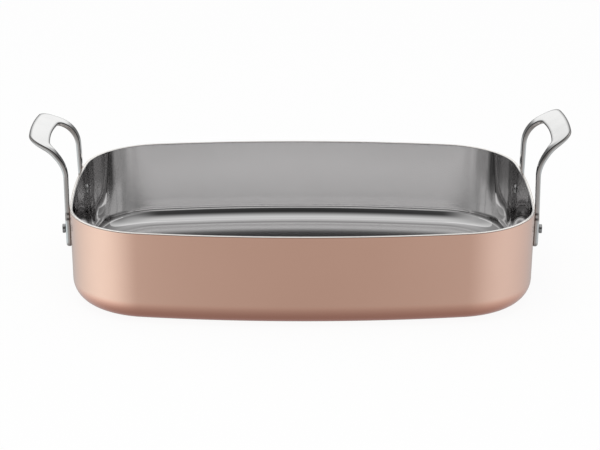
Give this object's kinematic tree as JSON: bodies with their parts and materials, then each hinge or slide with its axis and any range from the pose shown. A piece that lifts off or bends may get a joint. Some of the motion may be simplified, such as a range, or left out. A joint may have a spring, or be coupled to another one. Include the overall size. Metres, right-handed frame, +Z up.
{
  "type": "roasting pan",
  "caption": "Rounded rectangular roasting pan of clad copper with a bright steel inside and riveted upright loop handles on its short sides.",
  "frame": {"origin": "centre of the flat underside of the pan", "axes": "+X along the length, from the left handle to the right one; +Y away from the viewer of the picture; +Z up, out of the open top"},
  "size_m": [0.456, 0.2664, 0.137],
  "materials": {
    "copper": "fine-brushed copper under a thin clear lacquer",
    "core_aluminium": "trimmed edge",
    "liner_steel": "polished",
    "handle_steel": "polished casting",
    "rivet_steel": "satin"
  },
  "bodies": {
    "root": {"copper_shell": "copper", "aluminium_core": "core_aluminium", "steel_liner": "liner_steel", "handle_left": "handle_steel", "handle_right": "handle_steel", "rivet_left_front": "rivet_steel", "rivet_left_rear": "rivet_steel", "rivet_right_front": "rivet_steel", "rivet_right_rear": "rivet_steel"}
  },
  "joints": []
}
